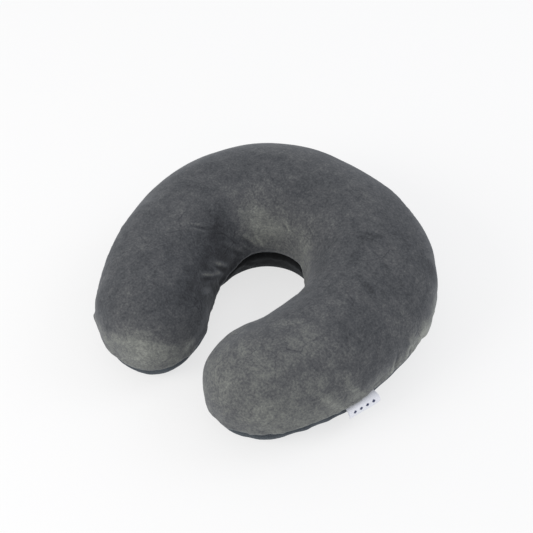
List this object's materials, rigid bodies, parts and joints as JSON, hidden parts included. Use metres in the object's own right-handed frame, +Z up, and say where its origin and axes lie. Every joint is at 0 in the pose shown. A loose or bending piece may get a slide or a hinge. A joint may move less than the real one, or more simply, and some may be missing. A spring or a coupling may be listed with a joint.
{
  "type": "u shaped neck pillow",
  "caption": "U shaped travel neck pillow: padded foam ring open at the front, in a removable velour cover with a coil zip in the back seam and a small side label.",
  "frame": {"origin": "middle of the flat base, at the centre of the whole plan", "axes": "+Z up from the flat base to the crown, +Y towards the back of the U, -Y towards its open mouth, +X towards the arm with the label"},
  "size_m": [0.2979, 0.2914, 0.102],
  "materials": {
    "velour": "dark grey brushed velour, matt with a soft sheen",
    "base_cloth": "smooth dark blue-grey knit, matt",
    "foam": "cream open cell memory foam, matt",
    "liner_knit": "thin off-white stockinette, matt",
    "zip_tape": "dark grey woven tape, matt",
    "nylon_coil": "dark grey nylon coil, slight gloss",
    "zip_metal": "die cast zinc with gunmetal plating, satin",
    "label_weave": "white damask label ribbon, matt"
  },
  "bodies": {
    "pillow": {"cover_top": "velour", "cover_bottom": "base_cloth", "liner_top": "liner_knit", "liner_bottom": "liner_knit", "foam_core": "foam", "zip_tape_upper": "zip_tape", "zip_tape_lower": "zip_tape", "zip_coil_upper": "nylon_coil", "zip_coil_lower": "nylon_coil", "zip_bottom_stop": "zip_metal", "zip_top_stop_upper": "zip_metal", "zip_top_stop_lower": "zip_metal", "side_label": "label_weave", "care_label": "label_weave"},
    "slider": {"zip_slider": "zip_metal"},
    "pull": {"zip_pull": "zip_metal"}
  },
  "joints": [
    {"name": "zip_run", "type": "hinge", "parent": "pillow", "child": "slider", "pos_m": [0, -0.00426, 0.0365], "axis": [0, 0, -1], "range_deg": [0, 85.6]},
    {"name": "pull_flip", "type": "hinge", "parent": "slider", "child": "pull", "pos_m": [-0.10321, 0.10719, 0.0365], "axis": [0, 0, 1], "range_deg": [0, 180]}
  ]
}
